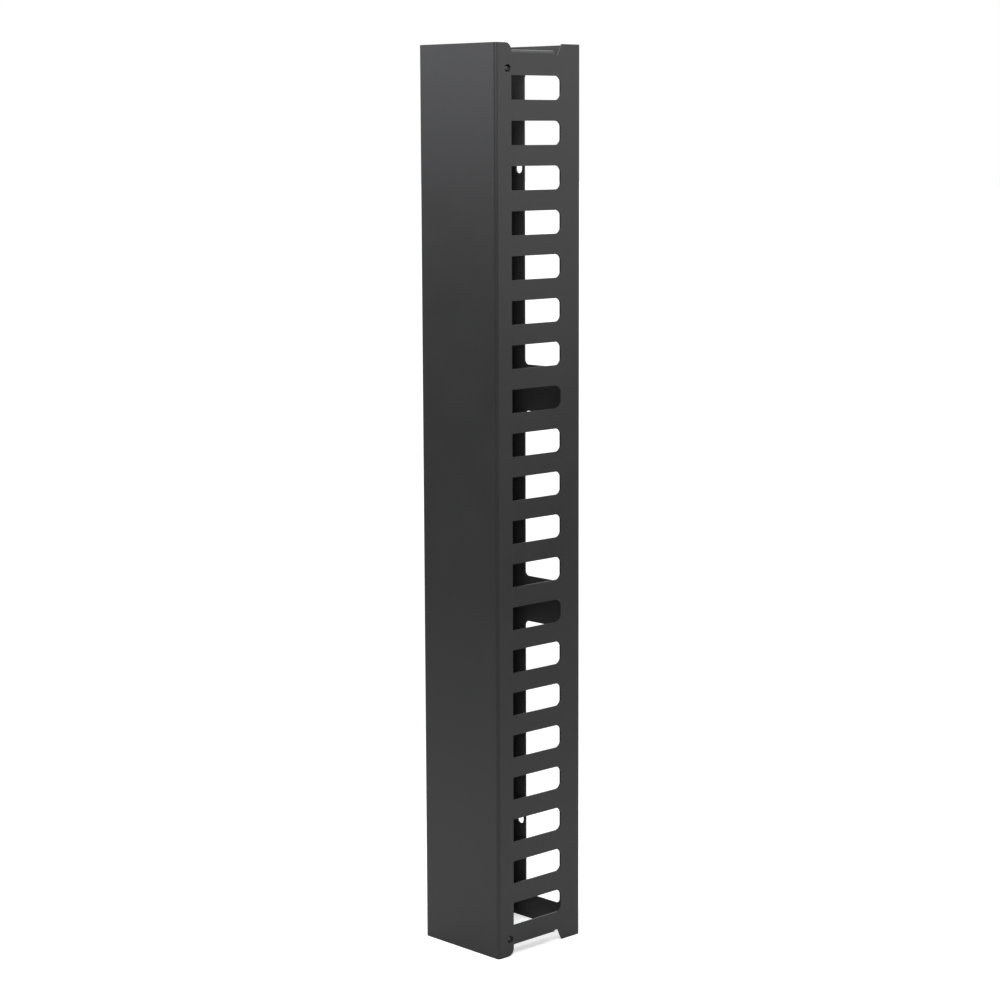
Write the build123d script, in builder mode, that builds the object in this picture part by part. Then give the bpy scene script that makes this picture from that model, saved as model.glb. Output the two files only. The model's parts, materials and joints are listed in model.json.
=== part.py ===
from build123d import *
import os
from math import cos, radians, sin

# Vertical cable manager for a server rack: a slotted steel channel with a push-on cover.
#
# The channel is one folded sheet: a back with three large cut-outs and two side panels that are
# slotted into cable fingers. The cover is a second folded sheet that is pushed straight on from
# the front. Four sprung catches in the side panels drop into the round holes of its flanges.
#
# Millimetres. X is the width (the right side is +X), the cover faces -Y, the back is on the +Y
# side and Z is up. The origin is the middle of the lower end.

# ---- overall size ---------------------------------------------------------------------------
LENGTH = 931.5  # 21 rack units of 44.45, less a little clearance
DEPTH = 120.6  # front face of the cover to the back of the channel
REAR = DEPTH / 2
FRONT = -DEPTH / 2
MIDDLE = LENGTH / 2
ENDS = (("lower", -1), ("upper", 1))
SIDES = (("left", -1), ("right", 1))

# ---- channel sheet --------------------------------------------------------------------------
CHANNEL_SHEET = 1.5
CHANNEL_WIDTH = 108.8
PANEL_FRONT = FRONT + 2.5  # front edge of the side panels, just behind the cover
CHANNEL_BEND = 3.0  # outer radius

# ---- cable slots and fingers in the side panels ---------------------------------------------
SLOT_COUNT = 20
SLOT_PITCH = 44.45  # one rack unit
SLOT_HEIGHT = 23.8
SLOT_CORNER = 7.0
REAR_STRIP = 28.6  # unslotted strip of the panel beside the back
SLOT_REAR = REAR - REAR_STRIP
HEAD_DEPTH = 10.0  # T-shaped head at the tip of each finger
MOUTH_HEIGHT = 11.0  # gap between two heads
HEAD_CHAMFER = 2.2

# ---- ends of the side panels ----------------------------------------------------------------
# Beside the back each panel runs to the end as an ear. In front of the ear it stops short and is
# folded inwards as a lip, and a tapered notch between the two relieves the fold.
END_INSET = {"lower": 9.8, "upper": 6.6}
RELIEF_DEPTH = {"lower": 12.3, "upper": 10.9}
EAR_TIP = 26.8  # depth of the ear from the back, at the end and at the bottom of the notch
EAR_ROOT = 32.6
LIP_REAR = REAR - 38.0
RELIEF_CORNER = 1.8
LIP_WIDTH = 12.0
LIP_CHAMFER = 4.0

# ---- cut-outs of the back -------------------------------------------------------------------
CUTOUT_WIDTH = CHANNEL_WIDTH - 2 * REAR_STRIP
CUTOUT_CORNER = 5.5
END_STRAP = 26.7
CROSS_STRAP = 48.9
LONG_CUTOUT = 301.8
SHORT_CUTOUT = LENGTH - 2 * (END_STRAP + LONG_CUTOUT + CROSS_STRAP)

# ---- mounting slots in the back -------------------------------------------------------------
MOUNT_SLOT_WIDTH = 9.0
MOUNT_SLOT_LENGTH = 25.9
MOUNT_SPACING_X = 66.675
MOUNT_SPACING_Z = 698.5

# ---- cover sheet ----------------------------------------------------------------------------
COVER_SHEET = 1.2
COVER_GAP = 0.3  # between a flange and the side panel
COVER_WIDTH = CHANNEL_WIDTH + 2 * (COVER_GAP + COVER_SHEET)
COVER_BEND = 3.5  # outer radius
FLANGE_DEPTH = 21.6
FLANGE_CORNER = 8.0
CATCH_HOLE = 8.0  # diameter, in the flanges

# ---- sprung catches -------------------------------------------------------------------------
CATCH_Y = FRONT + 16.5
CATCH_Z = {"lower": 18.1, "upper": LENGTH - 25.1}
PANEL_OUTSIDE = CHANNEL_WIDTH / 2
PANEL_INSIDE = PANEL_OUTSIDE - CHANNEL_SHEET
BARREL_RADIUS = 4.75  # its front is pressed into the panel
BARREL_FRONT = PANEL_OUTSIDE - 0.1
BARREL_REAR = PANEL_INSIDE - 10.0
BORE_RADIUS = 4.0
NOSE_RADIUS = 3.5
NOSE_CLEARANCE = 0.05
NOSE_TIP = PANEL_OUTSIDE + COVER_GAP - 0.15  # just clear of the cover's flange
NOSE_BEVEL = 1.6  # 45 degrees, so that the flange rides over it
SKIRT_RADIUS = 3.92  # guides the plunger in the bore
SKIRT_FRONT = PANEL_INSIDE - 1.05  # its outward travel to the front of the bore
SKIRT_LENGTH = 2.8
POCKET_RADIUS = 2.8
POCKET_BOTTOM = SKIRT_FRONT + 0.25
CAP_THICKNESS = 1.5
CAP_FRONT = BARREL_REAR + CAP_THICKNESS
SPRING_WIRE = 0.4
SPRING_RADIUS = 2.35  # to the middle of the wire
SPRING_TURNS = 5
SPRING_STEPS = 8  # straight lengths in each turn
SPRING_WIRE_SIDES = 4


def write(part: Part, label: str) -> None:
    """Label a finished sub-part and write it as its own STEP file."""
    part.label = label
    export_step(part, f"parts/{label}.step")


os.makedirs("parts", exist_ok=True)


# ---- channel --------------------------------------------------------------------------------
# One cable slot as it lies in a side panel: local x is Y and local y is Z. Its rear corners are
# round, and in front it narrows to the mouth between the bevelled heads of two fingers.
NECK = PANEL_FRONT + HEAD_DEPTH
with BuildSketch() as slot_outline:
    with Locations(((SLOT_REAR + NECK) / 2, 0)):
        Rectangle(SLOT_REAR - NECK, SLOT_HEIGHT)
    with Locations((PANEL_FRONT + HEAD_DEPTH / 2, 0)):
        Rectangle(HEAD_DEPTH, MOUTH_HEIGHT)
    fillet(slot_outline.vertices().group_by(Axis.X)[-1], SLOT_CORNER)
    heads = slot_outline.vertices().filter_by_position(Axis.X, NECK - 1, NECK + 1)
    chamfer(heads.filter_by_position(Axis.Y, -MOUTH_HEIGHT / 2, MOUTH_HEIGHT / 2), HEAD_CHAMFER)

with BuildPart() as channel:
    # the folded section, full length
    with BuildSketch():
        with BuildLine():
            FilletPolyline(
                (-CHANNEL_WIDTH / 2, PANEL_FRONT),
                (-CHANNEL_WIDTH / 2, REAR),
                (CHANNEL_WIDTH / 2, REAR),
                (CHANNEL_WIDTH / 2, PANEL_FRONT),
                radius=CHANNEL_BEND,
            )
            offset(amount=CHANNEL_SHEET, side=Side.RIGHT)
        make_face()
    extrude(amount=LENGTH)

    # ends of the side panels: cut back in front of the ears, with the tapered notches
    for end, up in ENDS:
        edge = MIDDLE + up * MIDDLE
        floor = edge - up * RELIEF_DEPTH[end]
        with BuildSketch(Plane.YZ) as notch:
            with BuildLine():
                Polyline(
                    (REAR - EAR_TIP, edge),
                    (REAR - EAR_ROOT, floor),
                    (LIP_REAR, floor),
                    (LIP_REAR, edge),
                    close=True,
                )
            make_face()
            fillet(notch.vertices().filter_by_position(Axis.Y, floor - 1, floor + 1), RELIEF_CORNER)
            with Locations(((PANEL_FRONT + LIP_REAR) / 2, edge)):
                Rectangle(LIP_REAR - PANEL_FRONT, 2 * (END_INSET[end] + CHANNEL_BEND))
        extrude(amount=CHANNEL_WIDTH, both=True, mode=Mode.SUBTRACT)

    # the lips: the panel's edge folded inwards at each end
    for side, sign in SIDES:
        outside = sign * CHANNEL_WIDTH / 2
        for end, up in ENDS:
            edge = MIDDLE + up * (MIDDLE - END_INSET[end])
            with BuildSketch(Plane.XZ.offset(-LIP_REAR)):
                with BuildLine():
                    FilletPolyline(
                        (outside, edge - up * 2 * CHANNEL_BEND),
                        (outside, edge),
                        (outside - sign * LIP_WIDTH, edge),
                        radius=CHANNEL_BEND,
                    )
                    offset(amount=CHANNEL_SHEET, side=Side.LEFT if sign * up > 0 else Side.RIGHT)
                make_face()
            extrude(amount=LIP_REAR - PANEL_FRONT)

    lip_reach = PANEL_INSIDE - CHANNEL_BEND
    lip_ends = channel.edges().filter_by(Axis.Z).filter_by_position(Axis.X, -lip_reach, lip_reach)
    chamfer(lip_ends, LIP_CHAMFER)

    # cable slots through both side panels, with the tips of the fingers bevelled
    with BuildSketch(Plane.YZ):
        with Locations((0, MIDDLE)):
            with GridLocations(0, SLOT_PITCH, 1, SLOT_COUNT):
                add(slot_outline.sketch)
    extrude(amount=CHANNEL_WIDTH, both=True, mode=Mode.SUBTRACT)
    tips = channel.edges().filter_by(Axis.X).group_by(Axis.Y)[0]
    chamfer(tips.filter_by_position(Axis.Z, SLOT_HEIGHT, LENGTH - SLOT_HEIGHT), HEAD_CHAMFER)

    # holes that the catches are pressed into
    with BuildSketch(Plane.YZ):
        with Locations(*[(CATCH_Y, height) for height in CATCH_Z.values()]):
            Circle(BARREL_RADIUS)
    extrude(amount=CHANNEL_WIDTH, both=True, mode=Mode.SUBTRACT)

    # the back: three cut-outs between cross straps, and four vertical mounting slots
    with BuildSketch(Plane.XZ.offset(-REAR)):
        reach = MIDDLE - END_STRAP - LONG_CUTOUT / 2
        with Locations((0, MIDDLE - reach), (0, MIDDLE + reach)):
            RectangleRounded(CUTOUT_WIDTH, LONG_CUTOUT, CUTOUT_CORNER)
        with Locations((0, MIDDLE)):
            RectangleRounded(CUTOUT_WIDTH, SHORT_CUTOUT, CUTOUT_CORNER)
            with GridLocations(MOUNT_SPACING_X, MOUNT_SPACING_Z, 2, 2):
                SlotOverall(MOUNT_SLOT_LENGTH, MOUNT_SLOT_WIDTH, rotation=90)
    extrude(amount=2 * CHANNEL_SHEET, mode=Mode.SUBTRACT)
write(channel.part, "channel")


# ---- cover ----------------------------------------------------------------------------------
with BuildPart() as cover:
    with BuildSketch():
        with BuildLine():
            FilletPolyline(
                (-COVER_WIDTH / 2, FRONT + FLANGE_DEPTH),
                (-COVER_WIDTH / 2, FRONT),
                (COVER_WIDTH / 2, FRONT),
                (COVER_WIDTH / 2, FRONT + FLANGE_DEPTH),
                radius=COVER_BEND,
            )
            offset(amount=COVER_SHEET, side=Side.LEFT)
        make_face()
    extrude(amount=LENGTH)
    fillet(cover.edges().filter_by(Axis.X).group_by(Axis.Y)[-1], FLANGE_CORNER)

    # round holes in the flanges, where the catches' plungers drop in
    with BuildSketch(Plane.YZ):
        with Locations(*[(CATCH_Y, height) for height in CATCH_Z.values()]):
            Circle(CATCH_HOLE / 2)
    extrude(amount=COVER_WIDTH, both=True, mode=Mode.SUBTRACT)
write(cover.part, "cover")


# ---- catches --------------------------------------------------------------------------------
# Every piece of a catch is round about the catch's own axis, which runs outwards through the
# panel. On a catch's plane local x is the distance outwards from the middle of the object and
# local y is the radius.
def catch_plane(side: int, height: float) -> Plane:
    """Plane through a catch's axis, with local x outwards on that side."""
    return Plane(origin=(0, CATCH_Y, height), x_dir=(side, 0, 0), z_dir=(0, -side, 0))


def catch_axis(side: int, height: float) -> Axis:
    """Centre line of a catch, pointing outwards."""
    return Axis((0, CATCH_Y, height), (side, 0, 0))


def catch_housing(side: int, height: float) -> Part:
    """Turned barrel, pressed into the panel, with a stepped bore for the plunger."""
    with BuildPart() as housing:
        with BuildSketch(catch_plane(side, height)):
            with BuildLine():
                Polyline(
                    (BARREL_FRONT, NOSE_RADIUS + NOSE_CLEARANCE),
                    (BARREL_FRONT, BARREL_RADIUS),
                    (BARREL_REAR, BARREL_RADIUS),
                    (BARREL_REAR, BORE_RADIUS),
                    (PANEL_INSIDE, BORE_RADIUS),
                    (PANEL_INSIDE, NOSE_RADIUS + NOSE_CLEARANCE),
                    close=True,
                )
            make_face()
        revolve(axis=catch_axis(side, height))
    return housing.part


def plunger(side: int, height: float) -> Part:
    """Bevelled nose in front of a wider skirt, hollow at the rear for the spring."""
    with BuildPart() as body:
        with BuildSketch(catch_plane(side, height)):
            with BuildLine():
                Polyline(
                    (NOSE_TIP, 0),
                    (NOSE_TIP, NOSE_RADIUS - NOSE_BEVEL),
                    (NOSE_TIP - NOSE_BEVEL, NOSE_RADIUS),
                    (SKIRT_FRONT, NOSE_RADIUS),
                    (SKIRT_FRONT, SKIRT_RADIUS),
                    (SKIRT_FRONT - SKIRT_LENGTH, SKIRT_RADIUS),
                    (SKIRT_FRONT - SKIRT_LENGTH, POCKET_RADIUS),
                    (POCKET_BOTTOM, POCKET_RADIUS),
                    (POCKET_BOTTOM, 0),
                    close=True,
                )
            make_face()
        revolve(axis=catch_axis(side, height))
    return body.part


def end_cap(side: int, height: float) -> Part:
    """Plain disc pressed into the rear of the barrel, against which the spring rests."""
    with BuildPart() as cap:
        with BuildSketch(catch_plane(side, height)):
            with Locations(((BARREL_REAR + CAP_FRONT) / 2, BORE_RADIUS / 2)):
                Rectangle(CAP_THICKNESS, BORE_RADIUS)
        revolve(axis=catch_axis(side, height))
    return cap.part


def coil_spring(side: int, height: float) -> Part:
    """Wire coiled between the end cap and the bottom of the plunger's pocket.

    It follows a helix in short straight lengths and its section is a square, which stands for
    round wire with few faces.
    """
    first = CAP_FRONT + SPRING_WIRE / 2
    span = POCKET_BOTTOM - CAP_FRONT - SPRING_WIRE
    steps = SPRING_TURNS * SPRING_STEPS
    turn = radians(360 / SPRING_STEPS)
    stations = [
        (
            side * (first + span * step / steps),
            CATCH_Y + SPRING_RADIUS * cos(turn * step),
            height + SPRING_RADIUS * sin(turn * step),
        )
        for step in range(steps + 1)
    ]
    with BuildPart() as spring:
        with BuildLine() as coil:
            Polyline(*stations)
        with BuildSketch(Plane(origin=coil.line @ 0, z_dir=coil.line % 0)):
            RegularPolygon(SPRING_WIRE / 2, SPRING_WIRE_SIDES)
        sweep(transition=Transition.RIGHT)
    return spring.part


for side_name, side_sign in SIDES:
    for end_name, _ in ENDS:
        catch_height = CATCH_Z[end_name]
        write(catch_housing(side_sign, catch_height), f"catch_housing_{end_name}_{side_name}")
        write(plunger(side_sign, catch_height), f"plunger_{end_name}_{side_name}")
        write(coil_spring(side_sign, catch_height), f"spring_{end_name}_{side_name}")
        write(end_cap(side_sign, catch_height), f"end_cap_{end_name}_{side_name}")
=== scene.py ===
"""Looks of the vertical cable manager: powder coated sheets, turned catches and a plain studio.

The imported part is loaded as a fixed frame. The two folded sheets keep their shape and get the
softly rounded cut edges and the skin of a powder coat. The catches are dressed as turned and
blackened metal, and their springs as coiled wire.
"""

from __future__ import annotations

import json
import logging
import math
from dataclasses import dataclass
from enum import Enum

import bmesh
import bpy
import numpy as np
from mathutils import Matrix, Vector

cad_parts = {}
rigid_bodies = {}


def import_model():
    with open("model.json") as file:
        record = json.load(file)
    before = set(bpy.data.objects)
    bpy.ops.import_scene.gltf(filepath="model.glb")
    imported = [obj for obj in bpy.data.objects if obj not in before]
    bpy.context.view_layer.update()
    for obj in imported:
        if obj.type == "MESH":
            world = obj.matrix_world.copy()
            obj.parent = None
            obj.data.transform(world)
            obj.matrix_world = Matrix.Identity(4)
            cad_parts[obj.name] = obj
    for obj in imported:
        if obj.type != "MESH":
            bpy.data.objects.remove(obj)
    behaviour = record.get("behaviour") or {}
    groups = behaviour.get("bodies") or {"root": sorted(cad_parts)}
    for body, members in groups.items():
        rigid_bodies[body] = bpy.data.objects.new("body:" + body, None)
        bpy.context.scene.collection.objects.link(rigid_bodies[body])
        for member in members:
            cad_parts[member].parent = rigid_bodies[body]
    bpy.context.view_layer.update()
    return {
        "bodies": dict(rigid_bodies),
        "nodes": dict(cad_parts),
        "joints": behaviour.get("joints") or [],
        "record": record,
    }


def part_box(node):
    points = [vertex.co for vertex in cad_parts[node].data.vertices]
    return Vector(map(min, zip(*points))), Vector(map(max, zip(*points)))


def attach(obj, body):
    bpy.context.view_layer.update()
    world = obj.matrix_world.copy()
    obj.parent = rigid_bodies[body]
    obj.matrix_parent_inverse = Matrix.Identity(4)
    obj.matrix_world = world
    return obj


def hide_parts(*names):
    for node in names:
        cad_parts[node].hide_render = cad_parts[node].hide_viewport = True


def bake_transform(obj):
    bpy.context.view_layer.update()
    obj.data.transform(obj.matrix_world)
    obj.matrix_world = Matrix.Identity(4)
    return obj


LOG = logging.getLogger("cable_manager")
MM = 0.001
Colour = tuple[float, float, float]
Point = tuple[float, float, float]

# Points of a grid and of a CAD solid that are closer than these are one point, and shorter edges
# of a grid are dissolved, in metres.
GRID_MERGE = 2e-7
SOLID_MERGE = 1e-6
SHORTEST_EDGE = 1e-7
# Facets round a turned piece.
TURNED_FACETS = 64
# A rounded corner takes at most this share of the shorter run beside it.
CORNER_SHARE = 0.4
# Faces that meet at less than the first angle are one flat face, and edges sharper than the
# second are rounded, in degrees.
FLAT_ANGLE = 0.5
EDGE_ANGLE = 40.0


class Side(Enum):
    """Side of the manager, as the direction of X that points outwards there."""

    LEFT = -1
    RIGHT = 1


class End(Enum):
    """End of the manager."""

    LOWER = "lower"
    UPPER = "upper"


# ---- mesh tools -----------------------------------------------------------------------------


def linked(name: str, mesh: bpy.types.Mesh) -> bpy.types.Object:
    """Put a mesh into the scene as an object at the origin."""
    piece = bpy.data.objects.new(name, mesh)
    bpy.context.scene.collection.objects.link(piece)
    return piece


def grid_piece(name: str, points: np.ndarray, uv: np.ndarray) -> bpy.types.Object:
    """Turn a grid of points into a closed quad mesh.

    Rows and columns that fall on one another, such as a seam or a pole, are merged, and each face
    keeps its own surface coordinates.

    Args:
        name: Name of the new object.
        points: Array (rows, columns, 3) in metres.
        uv: Array (rows, columns, 2) with the surface coordinates of each point.

    Returns:
        The object, at the origin, smoothly shaded, with its faces outwards.
    """
    rows, columns = points.shape[:2]
    index = np.arange(rows * columns).reshape(rows, columns)
    corners = [index[:-1, :-1], index[:-1, 1:], index[1:, 1:], index[1:, :-1]]
    quads = np.stack(corners, axis=-1).reshape(-1, 4)
    mesh = bpy.data.meshes.new(name)
    mesh.from_pydata(points.reshape(-1, 3), [], quads.tolist())
    layer = mesh.uv_layers.new(name="surface")
    layer.data.foreach_set("uv", uv.reshape(-1, 2)[quads.ravel()].astype(np.float32).ravel())
    work = bmesh.new()
    work.from_mesh(mesh)
    bmesh.ops.remove_doubles(work, verts=work.verts, dist=GRID_MERGE)
    bmesh.ops.dissolve_degenerate(work, edges=work.edges, dist=SHORTEST_EDGE)
    bmesh.ops.recalc_face_normals(work, faces=work.faces)
    work.to_mesh(mesh)
    work.free()
    mesh.shade_smooth()
    return linked(name, mesh)


def rounded_corners(corners: np.ndarray, radius: float, steps: int) -> np.ndarray:
    """Round every inner corner of an open profile.

    Each corner P becomes a quadratic arc from A to B, the points one radius before and after it:
    (1 - t)^2 A + 2 t (1 - t) P + t^2 B. Beside a short run the radius is a share of that run.

    Args:
        corners: Array (n, 2) of the profile's corners.
        radius: Distance from a corner at which its arc starts.
        steps: Points along each arc.

    Returns:
        Array (m, 2) of the rounded profile, from the first corner to the last.
    """
    runs = np.diff(corners, axis=0)
    lengths = np.linalg.norm(runs, axis=1)
    along = runs / lengths[:, None]
    shorter = np.minimum(lengths[:-1], lengths[1:])
    reach = np.minimum(radius, CORNER_SHARE * shorter)[:, None]
    inner = corners[1:-1, None]
    before = inner - (along[:-1] * reach)[:, None]
    after = inner + (along[1:] * reach)[:, None]
    t = np.linspace(0.0, 1.0, steps)[None, :, None]
    arcs = (1 - t) ** 2 * before + 2 * t * (1 - t) * inner + t**2 * after
    return np.concatenate([corners[:1], arcs.reshape(-1, 2), corners[-1:]])


def turned_piece(
    name: str, profile: np.ndarray, centre: np.ndarray, side: Side
) -> bpy.types.Object:
    """Turn a profile about an axis that runs outwards along X.

    A point at distance d from the middle of the manager and radius r from the axis lies, at
    angle a, at (side d, centre y + r cos a, centre z + r sin a).

    Args:
        name: Name of the new object.
        profile: Array (n, 2) of distance and radius in metres.
        centre: Y and Z of the axis.
        side: Side of the manager that the axis points to.

    Returns:
        The turned object.
    """
    angle = np.linspace(0.0, 2 * np.pi, TURNED_FACETS + 1)
    distance, radius = profile[:, :1], profile[:, 1:]
    points = np.stack(
        [
            side.value * distance * np.ones_like(angle),
            centre[0] + radius * np.cos(angle),
            centre[1] + radius * np.sin(angle),
        ],
        axis=-1,
    )
    steps = np.linalg.norm(np.diff(profile, axis=0), axis=1)
    along = np.concatenate([[0.0], np.cumsum(steps)])[:, None]
    round_share = angle / (2 * np.pi)
    uv = np.stack([along * np.ones_like(angle), round_share * np.ones_like(along)], axis=-1)
    return grid_piece(name, points, uv)


def rounded_copy(
    node: bpy.types.Object, name: str, radius: float, segments: int
) -> bpy.types.Object:
    """Copy a CAD node as whole flat faces and round its cut edges as a coat of paint does.

    Args:
        node: The CAD node, which is left alone.
        name: Name of the copy.
        radius: Radius of the rounded edges in metres.
        segments: Facets across each rounded edge.

    Returns:
        The new object, with live Bevel and Weighted Normal modifiers.
    """
    work = bmesh.new()
    work.from_mesh(node.data)
    bmesh.ops.remove_doubles(work, verts=work.verts, dist=SOLID_MERGE)
    flat = math.radians(FLAT_ANGLE)
    bmesh.ops.dissolve_limit(work, angle_limit=flat, verts=work.verts, edges=work.edges)
    mesh = bpy.data.meshes.new(name)
    work.to_mesh(mesh)
    work.free()
    mesh.shade_smooth()
    piece = linked(name, mesh)
    edges = piece.modifiers.new("rounded_edges", "BEVEL")
    edges.width = radius
    edges.segments = segments
    edges.limit_method = "ANGLE"
    edges.angle_limit = math.radians(EDGE_ANGLE)
    edges.use_clamp_overlap = True
    shading = piece.modifiers.new("flat_faces", "WEIGHTED_NORMAL")
    shading.keep_sharp = True
    return piece


# ---- shader tools ---------------------------------------------------------------------------

# Noise: how strong each finer layer is against the one before.
NOISE_ROUGHNESS = 0.55
# Clouds are noise of this many cells per metre.
CLOUD_SCALE = 11.0
CLOUD_DETAIL = 3.0
GRAIN_DETAIL = 2.0
PEEL_DETAIL = 1.0
# The grit on a powder coat is finer than its peel by this factor, and this much as high.
GRIT_FINENESS = 4.0
GRIT_SHARE = 0.25
# Turning marks change this often once round the piece, so that they look like whole lines.
MARKS_ROUND = 1.5
MARKS_DETAIL = 4.0
# Distance between neighbouring nodes in the editor.
NODE_SPACING = 180


class Drawing:
    """A node tree being drawn: places nodes, sets their values and joins them."""

    def __init__(self, tree: bpy.types.NodeTree) -> None:
        """Start on an empty tree."""
        self.tree = tree
        self.column = 0

    def place(self, kind: str, inputs: dict | None = None, **settings: object) -> bpy.types.Node:
        """Add a node.

        Args:
            kind: Blender's name of the node type.
            inputs: Value or source socket for each input, by name or number.
            **settings: Attributes of the node itself.

        Returns:
            The new node.
        """
        node = self.tree.nodes.new(kind)
        node.location = (NODE_SPACING * self.column, 0)
        self.column += 1
        for name, value in settings.items():
            setattr(node, name, value)
        for key, value in (inputs or {}).items():
            self.feed(value, node.inputs[key])
        return node

    def feed(self, value: object, socket: bpy.types.NodeSocket) -> None:
        """Link a source socket to an input, or set the input to a plain value."""
        if isinstance(value, bpy.types.NodeSocket):
            self.tree.links.new(value, socket)
        else:
            socket.default_value = value

    def noise(self, vector: object, scale: object, detail: float) -> bpy.types.NodeSocket:
        """Noise of a given number of cells per metre, as a value about 0.5."""
        inputs = {
            "Vector": vector,
            "Scale": scale,
            "Detail": detail,
            "Roughness": NOISE_ROUGHNESS,
        }
        return self.place("ShaderNodeTexNoise", inputs).outputs["Fac"]

    def ramp(self, value: object, old: tuple, new: tuple) -> bpy.types.NodeSocket:
        """Carry a value smoothly from one range to another, held at the ends."""
        inputs = {
            "Value": value,
            "From Min": old[0],
            "From Max": old[1],
            "To Min": new[0],
            "To Max": new[1],
        }
        node = self.place("ShaderNodeMapRange", inputs, interpolation_type="SMOOTHSTEP")
        return node.outputs["Result"]

    def math(self, operation: str, first: object, second: object) -> bpy.types.NodeSocket:
        """Combine two values."""
        return self.place("ShaderNodeMath", {0: first, 1: second}, operation=operation).outputs[0]

    def scaled(self, colour: object, factor: object) -> bpy.types.NodeSocket:
        """Multiply a colour by a value."""
        inputs = {0: colour, "Scale": factor}
        return self.place("ShaderNodeVectorMath", inputs, operation="SCALE").outputs["Vector"]


def new_group(
    name: str, inputs: dict[str, str], outputs: dict[str, str]
) -> tuple[Drawing, dict, dict]:
    """Make a shader node group that holds only its sockets.

    Args:
        name: Name of the group.
        inputs: Type of each input socket, by its name.
        outputs: Type of each output socket, by its name.

    Returns:
        The drawing, the group's inputs by name, and the output node's inputs by name.
    """
    tree = bpy.data.node_groups.new(name, "ShaderNodeTree")
    for label, kind in inputs.items():
        tree.interface.new_socket(name=label, in_out="INPUT", socket_type=f"NodeSocket{kind}")
    for label, kind in outputs.items():
        tree.interface.new_socket(name=label, in_out="OUTPUT", socket_type=f"NodeSocket{kind}")
    drawing = Drawing(tree)
    source = drawing.place("NodeGroupInput")
    target = drawing.place("NodeGroupOutput")
    return drawing, source.outputs, target.inputs


def grain_group() -> bpy.types.NodeTree:
    """Cloudy and fine variation of a surface: a shaded colour and a roughness.

    The clouds are noise about 0.1 m across and the grain is noise of the given scale. The colour
    is multiplied by 1 plus the two, each times its share, and the roughness moves with them.
    """
    drawing, given, out = new_group(
        "surface_grain",
        {
            "Vector": "Vector",
            "Colour": "Color",
            "Grain Scale": "Float",
            "Grain Share": "Float",
            "Cloud Share": "Float",
            "Roughness": "Float",
            "Roughness Spread": "Float",
        },
        {"Colour": "Color", "Roughness": "Float"},
    )
    cloud_noise = drawing.noise(given["Vector"], CLOUD_SCALE, CLOUD_DETAIL)
    clouds = drawing.math("SUBTRACT", cloud_noise, 0.5)
    grain_noise = drawing.noise(given["Vector"], given["Grain Scale"], GRAIN_DETAIL)
    grain = drawing.math("SUBTRACT", grain_noise, 0.5)
    cloud_part = drawing.math("MULTIPLY", clouds, given["Cloud Share"])
    grain_part = drawing.math("MULTIPLY", grain, given["Grain Share"])
    shade = drawing.math("ADD", drawing.math("ADD", cloud_part, grain_part), 1.0)
    both = drawing.math("ADD", clouds, grain)
    spread = drawing.math("MULTIPLY", both, given["Roughness Spread"])
    drawing.feed(drawing.scaled(given["Colour"], shade), out["Colour"])
    drawing.feed(drawing.math("ADD", given["Roughness"], spread), out["Roughness"])
    return drawing.tree


def peel_group() -> bpy.types.NodeTree:
    """Height of a powder coat: soft round orange peel with a finer grit on it."""
    drawing, given, out = new_group(
        "powder_peel", {"Vector": "Vector", "Peel Scale": "Float"}, {"Height": "Float"}
    )
    peel = drawing.noise(given["Vector"], given["Peel Scale"], PEEL_DETAIL)
    grit_scale = drawing.math("MULTIPLY", given["Peel Scale"], GRIT_FINENESS)
    grit_noise = drawing.noise(given["Vector"], grit_scale, PEEL_DETAIL)
    grit = drawing.math("MULTIPLY", grit_noise, GRIT_SHARE)
    drawing.feed(drawing.math("ADD", peel, grit), out["Height"])
    return drawing.tree


def lathe_group() -> bpy.types.NodeTree:
    """Marks of turning or drawing: fine lines that run across the first surface coordinate."""
    drawing, given, out = new_group(
        "turning_marks",
        {"Vector": "Vector", "Line Scale": "Float", "Colour": "Color", "Share": "Float"},
        {"Colour": "Color", "Height": "Float"},
    )
    parts = drawing.place("ShaderNodeSeparateXYZ", {0: given["Vector"]})
    lengthways = drawing.math("MULTIPLY", parts.outputs["X"], given["Line Scale"])
    around = drawing.math("MULTIPLY", parts.outputs["Y"], MARKS_ROUND)
    lined = drawing.place("ShaderNodeCombineXYZ", {"X": lengthways, "Y": around})
    lines = drawing.noise(lined.outputs[0], 1.0, MARKS_DETAIL)
    share = drawing.math("MULTIPLY", drawing.math("SUBTRACT", lines, 0.5), given["Share"])
    shade = drawing.math("ADD", share, 1.0)
    drawing.feed(drawing.scaled(given["Colour"], shade), out["Colour"])
    drawing.feed(lines, out["Height"])
    return drawing.tree


@dataclass(frozen=True)
class Groups:
    """The shader node groups that the finishes share."""

    grain: bpy.types.NodeTree
    peel: bpy.types.NodeTree
    lathe: bpy.types.NodeTree

    @staticmethod
    def drawn() -> Groups:
        """Draw every group once."""
        return Groups(grain_group(), peel_group(), lathe_group())


def new_material(name: str) -> tuple[bpy.types.Material, Drawing, bpy.types.Node]:
    """Make a material that holds only a Principled shader and its output."""
    material = bpy.data.materials.new(name)
    material.use_nodes = True
    material.node_tree.nodes.clear()
    drawing = Drawing(material.node_tree)
    shader = drawing.place("ShaderNodeBsdfPrincipled")
    drawing.place("ShaderNodeOutputMaterial", {"Surface": shader.outputs[0]})
    return material, drawing, shader


# ---- finishes -------------------------------------------------------------------------------


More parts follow.
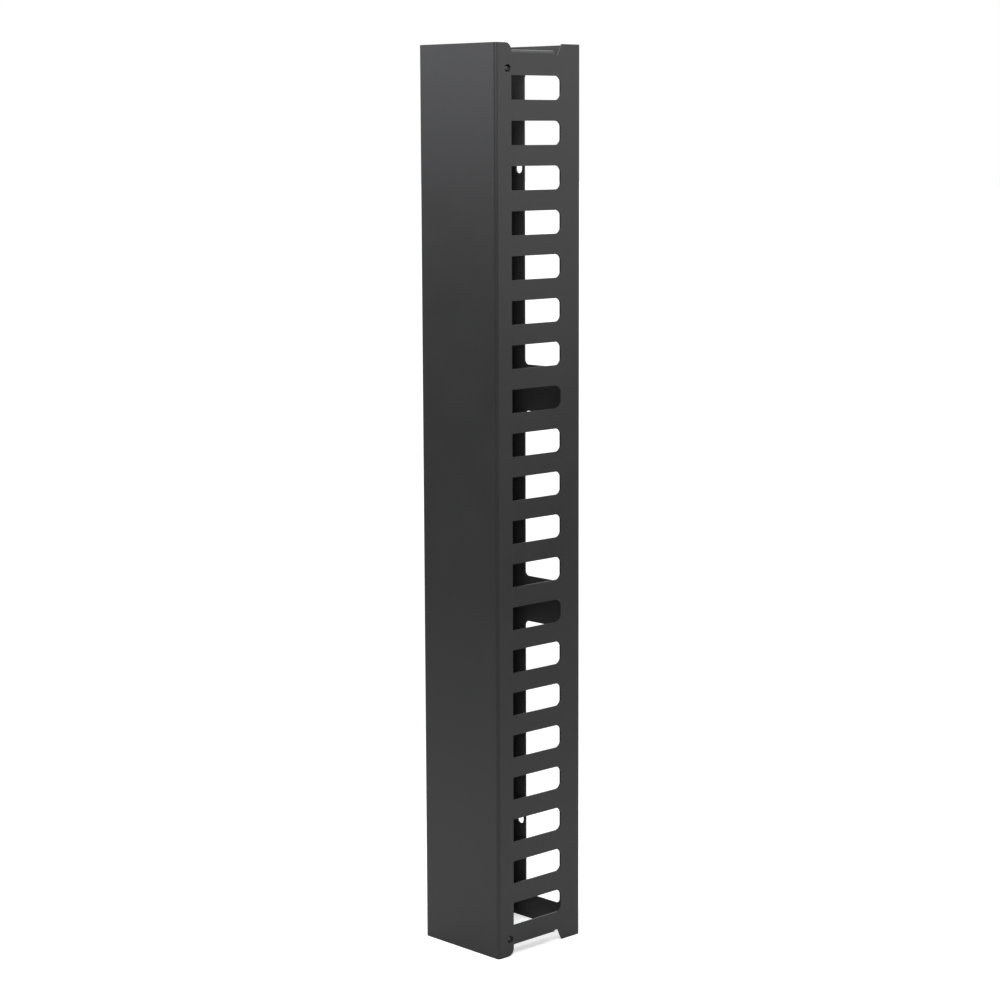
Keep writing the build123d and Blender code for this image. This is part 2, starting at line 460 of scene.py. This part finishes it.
@dataclass(frozen=True)
class PowderCoat:
    """Satin powder coat on folded steel sheet."""

    name: str
    colour: Colour
    roughness: float = 0.40
    roughness_spread: float = 0.16
    specular_level: float = 0.50
    grain_scale: float = 900.0
    grain_share: float = 0.7
    cloud_share: float = 0.25
    peel_scale: float = 650.0
    peel_depth: float = 0.05 * MM

    def material(self, groups: Groups) -> bpy.types.Material:
        """Draw the coat: clouded black, soft gloss and orange peel, all on Object coordinates."""
        material, drawing, shader = new_material(self.name)
        where = drawing.place("ShaderNodeTexCoord").outputs["Object"]
        grain_inputs = {
            "Vector": where,
            "Colour": (*self.colour, 1.0),
            "Grain Scale": self.grain_scale,
            "Grain Share": self.grain_share,
            "Cloud Share": self.cloud_share,
            "Roughness": self.roughness,
            "Roughness Spread": self.roughness_spread,
        }
        grain = drawing.place("ShaderNodeGroup", grain_inputs, node_tree=groups.grain)
        peel_inputs = {"Vector": where, "Peel Scale": self.peel_scale}
        peel = drawing.place("ShaderNodeGroup", peel_inputs, node_tree=groups.peel)
        bump = drawing.place(
            "ShaderNodeBump",
            {"Height": peel.outputs["Height"], "Distance": self.peel_depth, "Strength": 1.0},
        )
        drawing.feed(grain.outputs["Colour"], shader.inputs["Base Color"])
        drawing.feed(grain.outputs["Roughness"], shader.inputs["Roughness"])
        drawing.feed(bump.outputs["Normal"], shader.inputs["Normal"])
        drawing.feed(self.specular_level, shader.inputs["Specular IOR Level"])
        return material


@dataclass(frozen=True)
class LatheMetal:
    """Turned or drawn metal with fine lines round it."""

    name: str
    colour: Colour
    roughness: float
    metallic: float
    line_scale: float
    line_share: float
    line_depth: float
    roughness_spread: float = 0.2
    grain_scale: float = 2500.0
    grain_share: float = 0.2
    cloud_share: float = 0.1

    def material(self, groups: Groups) -> bpy.types.Material:
        """Draw the metal: lines on the piece's own surface coordinates and a clouded gloss."""
        material, drawing, shader = new_material(self.name)
        places = drawing.place("ShaderNodeTexCoord").outputs
        lathe_inputs = {
            "Vector": places["UV"],
            "Line Scale": self.line_scale,
            "Colour": (*self.colour, 1.0),
            "Share": self.line_share,
        }
        lathe = drawing.place("ShaderNodeGroup", lathe_inputs, node_tree=groups.lathe)
        grain_inputs = {
            "Vector": places["Object"],
            "Colour": lathe.outputs["Colour"],
            "Grain Scale": self.grain_scale,
            "Grain Share": self.grain_share,
            "Cloud Share": self.cloud_share,
            "Roughness": self.roughness,
            "Roughness Spread": self.roughness_spread,
        }
        grain = drawing.place("ShaderNodeGroup", grain_inputs, node_tree=groups.grain)
        bump = drawing.place(
            "ShaderNodeBump",
            {"Height": lathe.outputs["Height"], "Distance": self.line_depth, "Strength": 1.0},
        )
        drawing.feed(grain.outputs["Colour"], shader.inputs["Base Color"])
        drawing.feed(grain.outputs["Roughness"], shader.inputs["Roughness"])
        drawing.feed(bump.outputs["Normal"], shader.inputs["Normal"])
        drawing.feed(self.metallic, shader.inputs["Metallic"])
        return material


COAT_BLACK: Colour = (0.016, 0.016, 0.0165)
CHANNEL_COAT = PowderCoat(name="channel_coat", colour=COAT_BLACK)
COVER_COAT = PowderCoat(name="cover_coat", colour=COAT_BLACK)
BLACK_ZINC = LatheMetal(
    name="black_zinc",
    colour=(0.12, 0.12, 0.125),
    roughness=0.42,
    metallic=1.0,
    line_scale=9000.0,
    line_share=0.5,
    line_depth=0.004 * MM,
)
BLACKENED_NOSE = LatheMetal(
    name="blackened_nose",
    colour=(0.07, 0.07, 0.075),
    roughness=0.50,
    metallic=1.0,
    line_scale=12000.0,
    line_share=0.4,
    line_depth=0.003 * MM,
)
DRAWN_WIRE = LatheMetal(
    name="drawn_wire",
    colour=(0.35, 0.35, 0.37),
    roughness=0.30,
    metallic=1.0,
    line_scale=9000.0,
    line_share=0.3,
    line_depth=0.002 * MM,
)


# ---- sub-assemblies -------------------------------------------------------------------------


@dataclass
class FoldedSheet:
    """One folded and coated sheet, which stands for its CAD node."""

    node: str
    body: str
    slot: str
    coat: PowderCoat
    edge_radius: float = 0.25 * MM
    edge_segments: int = 2

    def build(self, frame: dict, groups: Groups) -> bpy.types.Object:
        """Copy the sheet with rounded cut edges, coat it and let it ride on its body.

        Args:
            groups: The shared shader node groups.

        Returns:
            The coated sheet.
        """
        source = frame["nodes"][self.node]
        piece = rounded_copy(source, f"{self.node}_coated", self.edge_radius, self.edge_segments)
        piece.data.materials.clear()
        piece.data.materials.append(self.coat.material(groups))
        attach(piece, self.body)
        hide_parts(self.node)
        return piece


@dataclass(frozen=True)
class CatchMetals:
    """Materials of a catch's pieces."""

    housing: bpy.types.Material
    plunger: bpy.types.Material
    spring: bpy.types.Material


@dataclass
class SprungCatch:
    """Housing, plunger, spring and end cap of one catch, round about an axis along X.

    Distances are from the middle of the manager outwards. Lengths are in millimetres.
    """

    end: End
    side: Side
    panel_inside: float = 52.9
    barrel_front: float = 54.3
    barrel_radius: float = 4.75
    barrel_rear: float = 42.9
    bore_radius: float = 4.0
    nose_radius: float = 3.5
    nose_clearance: float = 0.05
    nose_tip: float = 54.55
    nose_bevel: float = 1.6
    skirt_front: float = 51.85
    skirt_radius: float = 3.92
    skirt_length: float = 2.8
    pocket_radius: float = 2.8
    pocket_bottom: float = 52.1
    cap_front: float = 44.4
    wire: float = 0.4
    coil_radius: float = 2.35
    coil_turns: float = 5.0
    closed_ends: float = 0.05
    steps_per_turn: int = 36
    wire_facets: int = 12
    edge_break: float = 0.15
    edge_steps: int = 4
    nose_edge: float = 0.6
    nose_steps: int = 6
    roll_radius: float = 0.35
    roll_steps: int = 5

    @property
    def tag(self) -> str:
        """End and side as the CAD nodes name them."""
        return f"{self.end.value}_{self.side.name.lower()}"

    def build(self, metals: CatchMetals) -> list[bpy.types.Object]:
        """Make the four pieces and let the housing, the end cap and the plunger each ride on its
        body.

        Args:
            metals: Materials of the pieces.

        Returns:
            The housing, the end cap, the plunger and the spring.
        """
        low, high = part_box(f"catch_housing_{self.tag}")
        centre = np.array([(low.y + high.y) / 2, (low.z + high.z) / 2])
        plunger_body = f"plunger_{self.tag}"
        housing = self.turned("catch_housing", self.housing_profile(), centre, metals.housing)
        cap = self.turned("end_cap", self.cap_profile(), centre, metals.housing)
        plunger = self.turned("plunger", self.plunger_profile(), centre, metals.plunger)
        for piece, body in ((housing, "frame"), (cap, "frame"), (plunger, plunger_body)):
            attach(piece, body)
        spring = self.spring(centre, metals.spring)
        return [housing, cap, plunger, spring]

    def turned(
        self, kind: str, profile: np.ndarray, centre: np.ndarray, metal: bpy.types.Material
    ) -> bpy.types.Object:
        """Turn one piece, which stands for the CAD node of that kind.

        Args:
            kind: First part of the node's name.
            profile: Array (n, 2) of distance and radius in millimetres.
            centre: Y and Z of the catch's axis in metres.
            metal: Its material.

        Returns:
            The turned piece.
        """
        node = f"{kind}_{self.tag}"
        piece = turned_piece(f"{node}_turned", profile * MM, centre, self.side)
        piece.data.materials.append(metal)
        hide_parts(node)
        return piece

    def housing_profile(self) -> np.ndarray:
        """Section of the housing's wall: outside, rear edge and stepped bore."""
        nose_bore = self.nose_radius + self.nose_clearance
        seam = (nose_bore + self.barrel_radius) / 2
        corners = [
            (self.barrel_front, seam),
            (self.barrel_front, self.barrel_radius),
            (self.barrel_rear, self.barrel_radius),
            (self.barrel_rear, self.bore_radius),
            (self.panel_inside, self.bore_radius),
            (self.panel_inside, nose_bore),
            (self.barrel_front, nose_bore),
            (self.barrel_front, seam),
        ]
        return rounded_corners(np.array(corners), self.edge_break, self.edge_steps)

    def cap_profile(self) -> np.ndarray:
        """Section of the end cap: a disc with a rolled edge."""
        corners = [
            (self.barrel_rear, 0.0),
            (self.barrel_rear, self.bore_radius),
            (self.cap_front, self.bore_radius),
            (self.cap_front, 0.0),
        ]
        return rounded_corners(np.array(corners), self.roll_radius, self.roll_steps)

    def plunger_profile(self) -> np.ndarray:
        """Section of the plunger, from its pocket round the skirt to the bevelled nose."""
        skirt_rear = self.skirt_front - self.skirt_length
        skirt = [
            (self.pocket_bottom, 0.0),
            (self.pocket_bottom, self.pocket_radius),
            (skirt_rear, self.pocket_radius),
            (skirt_rear, self.skirt_radius),
            (self.skirt_front, self.skirt_radius),
            (self.skirt_front, self.nose_radius),
        ]
        nose = [
            (self.skirt_front, self.nose_radius),
            (self.nose_tip - self.nose_bevel, self.nose_radius),
            (self.nose_tip, self.nose_radius - self.nose_bevel),
            (self.nose_tip, 0.0),
        ]
        rounded_skirt = rounded_corners(np.array(skirt), self.edge_break, self.edge_steps)
        rounded_nose = rounded_corners(np.array(nose), self.nose_edge, self.nose_steps)
        return np.concatenate([rounded_skirt, rounded_nose[1:]])

    def spring(self, centre: np.ndarray, metal: bpy.types.Material) -> bpy.types.Object:
        """Coil the wire from the end cap to the bottom of the plunger's pocket.

        The middle of the wire turns about the axis at the coil's radius while it moves outwards,
        slowly in the closed turn at each end: distance = start + span (s - k sin(2 pi s)) with s
        from 0 to 1 along the wire and k the share that closes the end turns. Round it goes a
        circle of half the wire, square to the wire's own direction, which shrinks to a point at
        each end.

        Args:
            centre: Y and Z of the catch's axis in metres.
            metal: Its material.

        Returns:
            The spring.
        """
        turns = self.coil_turns
        start = self.cap_front + self.wire / 2
        span = self.pocket_bottom - self.cap_front - self.wire
        s = np.linspace(0.0, 1.0, int(turns * self.steps_per_turn) + 1)
        angle = 2 * np.pi * turns * s
        distance = start + span * (s - self.closed_ends * np.sin(2 * np.pi * s))
        middle = np.stack(
            [distance, self.coil_radius * np.cos(angle), self.coil_radius * np.sin(angle)], axis=-1
        )
        tangent = np.gradient(middle, axis=0)
        tangent /= np.linalg.norm(tangent, axis=1, keepdims=True)
        outwards = np.stack([np.zeros_like(s), np.cos(angle), np.sin(angle)], axis=-1)
        across = np.cross(tangent, outwards)
        across /= np.linalg.norm(across, axis=1, keepdims=True)
        outwards = np.cross(across, tangent)
        rows = np.concatenate([[0], np.arange(len(s)), [len(s) - 1]])
        thickness = np.full(len(rows), self.wire / 2)
        thickness[[0, -1]] = 0.0
        turn = np.linspace(0.0, 2 * np.pi, self.wire_facets + 1)[None, :, None]
        ring = np.cos(turn) * outwards[rows][:, None] + np.sin(turn) * across[rows][:, None]
        local = middle[rows][:, None] + thickness[:, None, None] * ring
        points = local * MM * np.array([self.side.value, 1.0, 1.0])
        points += np.array([0.0, centre[0], centre[1]])
        length = (angle * self.coil_radius * MM)[rows][:, None]
        round_share = turn[..., 0] / (2 * np.pi)
        uv = np.stack([round_share * np.ones_like(length), length * np.ones_like(round_share)], -1)
        piece = grid_piece(f"spring_{self.tag}_coiled", points, uv)
        piece.data.materials.append(metal)
        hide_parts(f"spring_{self.tag}")
        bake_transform(piece)
        return piece


# ---- studio ---------------------------------------------------------------------------------


@dataclass(frozen=True)
class SoftBox:
    """A rectangular lamp with a soft front."""

    name: str
    place: Point
    target: Point
    size: tuple[float, float]
    power: float
    colour: Colour = (1.0, 1.0, 1.0)

    def build(self) -> None:
        """Hang the lamp so that its front faces the target."""
        lamp = bpy.data.lights.new(self.name, "AREA")
        lamp.color = self.colour
        lamp.shape = "RECTANGLE"
        lamp.size, lamp.size_y = self.size
        lamp.energy = self.power
        holder = bpy.data.objects.new(self.name, lamp)
        bpy.context.scene.collection.objects.link(holder)
        aim = Vector(self.target) - Vector(self.place)
        holder.rotation_euler = aim.to_track_quat("-Z", "Y").to_euler()
        holder.location = self.place


@dataclass
class Studio:
    """Pale floor, white surroundings, soft lamps and the camera."""

    floor_size: float = 60.0
    floor_colour: Colour = (0.90, 0.90, 0.90)
    floor_drop: float = 0.05 * MM
    floor_roughness: float = 0.9
    mottle_scale: float = 3.0
    mottle_detail: float = 2.0
    mottle_share: float = 0.02
    floor_lift: float = 0.56
    lift_start: float = 0.7
    lift_end: float = 3.0
    dim_world: float = 0.16
    low_mirror: float = 0.32
    high_mirror: float = 1.72
    mirror_rise: float = 0.45
    mirror_lean: float = 0.17
    overhead_band: tuple[float, float] = (0.45, 0.75)
    overhead_share: float = 0.15
    lens: float = 88.09
    sensor: float = 36.0
    nearest: float = 0.01
    farthest: float = 200.0
    camera_place: Point = (1.8053, -1.7410, 0.8421)
    camera_yaw: float = 46.081
    camera_pitch: float = 8.496
    camera_roll: float = -0.214
    boxes: tuple[SoftBox, ...] = (
        SoftBox("top_box", (0.0, 0.1, 1.70), (0.0, 0.1, 0.0), (0.8, 0.8), 15.0),
        SoftBox(
            "front_box", (-1.0, -1.0, 1.45), (0.0, 0.0, 0.9), (1.3, 1.3), 10.5, (0.95, 0.96, 1.0)
        ),
        SoftBox("side_box", (1.1, 1.1, 1.10), (0.0, 0.0, 0.7), (1.3, 1.3), 3.8),
        SoftBox("edge_box", (0.5, -0.5, 1.30), (0.0, 0.0, 0.95), (0.4, 0.4), 7.0),
    )

    def build(self) -> None:
        """Set up the floor, the world, the lamps, the camera and the view."""
        self.build_floor()
        self.build_world()
        for box in self.boxes:
            box.build()
        self.build_camera()
        bpy.context.scene.view_settings.view_transform = "Standard"

    def build_floor(self) -> None:
        """Lay the floor: pale and diffuse, and lifted to white away from the object.

        The lift is seen by the camera alone. It grows with the distance from the object, so the
        shadow stays and the far floor runs into the white surroundings without a line.
        """
        half = self.floor_size / 2
        corners = [(-half, -half, 0), (half, -half, 0), (half, half, 0), (-half, half, 0)]
        mesh = bpy.data.meshes.new("floor")
        mesh.from_pydata(corners, [], [(0, 1, 2, 3)])
        floor = linked("floor", mesh)
        floor.location.z = -self.floor_drop
        material, drawing, shader = new_material("pale_floor")
        where = drawing.place("ShaderNodeTexCoord").outputs["Object"]
        blotches = drawing.noise(where, self.mottle_scale, self.mottle_detail)
        mottle = drawing.math("MULTIPLY", blotches, self.mottle_share)
        shade = drawing.math("ADD", mottle, 1.0 - self.mottle_share / 2)
        drawing.feed(drawing.scaled(self.floor_colour, shade), shader.inputs["Base Color"])
        drawing.feed(self.floor_roughness, shader.inputs["Roughness"])
        drawing.feed((1.0, 1.0, 1.0, 1.0), shader.inputs["Emission Color"])
        distance = drawing.place("ShaderNodeVectorMath", {0: where}, operation="LENGTH")
        away = distance.outputs["Value"]
        lift = drawing.ramp(away, (self.lift_start, self.lift_end), (self.floor_lift, 1.0))
        path = drawing.place("ShaderNodeLightPath").outputs
        seen = drawing.math("MULTIPLY", path["Is Camera Ray"], lift)
        drawing.feed(seen, shader.inputs["Emission Strength"])
        mesh.materials.append(material)

    def build_world(self) -> None:
        """Surround the object with white for the camera and in glass, and dim light elsewhere.

        What gloss shows of the surroundings rises with height, as from lit walls, falls again
        straight overhead, and leans towards the right-hand rear.
        """
        world = bpy.data.worlds.new("surroundings")
        bpy.context.scene.world = world
        world.use_nodes = True
        world.node_tree.nodes.clear()
        drawing = Drawing(world.node_tree)
        path = drawing.place("ShaderNodeLightPath").outputs
        seen = drawing.math("MAXIMUM", path["Is Camera Ray"], path["Is Transmission Ray"])
        heading = drawing.place("ShaderNodeTexCoord").outputs["Generated"]
        parts = drawing.place("ShaderNodeSeparateXYZ", {0: heading}).outputs
        rightwards = drawing.math("ADD", parts["X"], parts["Y"])
        lean = drawing.math("MULTIPLY", rightwards, self.mirror_lean)
        levels = (self.low_mirror, self.high_mirror)
        rise = drawing.ramp(parts["Z"], (0.0, self.mirror_rise), levels)
        overhead = drawing.ramp(parts["Z"], self.overhead_band, (1.0, self.overhead_share))
        ceiling = drawing.math("MULTIPLY", rise, overhead)
        mirror = drawing.math("MAXIMUM", drawing.math("ADD", ceiling, lean), 0.0)
        mirrored = drawing.math("MULTIPLY", path["Is Glossy Ray"], mirror)
        shown = drawing.math("MAXIMUM", seen, mirrored)
        diffuse = drawing.math("MULTIPLY", path["Is Diffuse Ray"], self.dim_world)
        strength = drawing.math("MAXIMUM", shown, diffuse)
        inputs = {"Color": (1.0, 1.0, 1.0, 1.0), "Strength": strength}
        background = drawing.place("ShaderNodeBackground", inputs)
        drawing.place("ShaderNodeOutputWorld", {"Surface": background.outputs[0]})

    def build_camera(self) -> None:
        """Stand the camera where it sees the front and the right side from slightly above."""
        yaw, pitch, roll = map(math.radians, (self.camera_yaw, self.camera_pitch, self.camera_roll))
        forward = Vector(
            (-math.sin(yaw) * math.cos(pitch), math.cos(yaw) * math.cos(pitch), -math.sin(pitch))
        )
        right = Vector((math.cos(yaw), math.sin(yaw), 0.0))
        upward = right.cross(forward)
        turned_right = right * math.cos(roll) + upward * math.sin(roll)
        turned_up = upward * math.cos(roll) - right * math.sin(roll)
        axes = Matrix((turned_right, turned_up, -forward)).transposed()
        lens = bpy.data.cameras.new("camera")
        lens.lens = self.lens
        lens.sensor_width = self.sensor
        lens.clip_start = self.nearest
        lens.clip_end = self.farthest
        camera = bpy.data.objects.new("camera", lens)
        bpy.context.scene.collection.objects.link(camera)
        camera.matrix_world = Matrix.Translation(self.camera_place) @ axes.to_4x4()
        bpy.context.scene.camera = camera


# ---- everything together --------------------------------------------------------------------


def main() -> None:
    """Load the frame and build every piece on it."""
    logging.basicConfig(level=logging.INFO, format="%(name)s: %(message)s")
    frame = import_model()
    studio = Studio()
    studio.build()
    LOG.info("studio: camera, floor and %d lamps", len(studio.boxes))
    groups = Groups.drawn()

    sheets = [
        FoldedSheet("channel", "frame", "channel_paint", CHANNEL_COAT),
        FoldedSheet("cover", "cover", "cover_paint", COVER_COAT),
    ]
    for sheet in sheets:
        piece = sheet.build(frame, groups)
        LOG.info("%s: %d faces before its edges are rounded", piece.name, len(piece.data.polygons))

    metals = CatchMetals(
        housing=BLACK_ZINC.material(groups),
        plunger=BLACKENED_NOSE.material(groups),
        spring=DRAWN_WIRE.material(groups),
    )
    for end in End:
        for side in Side:
            catch = SprungCatch(end, side)
            pieces = catch.build(metals)
            LOG.info("catch %s: %s", catch.tag, ", ".join(piece.name for piece in pieces))


if __name__ == "__main__":
    main()
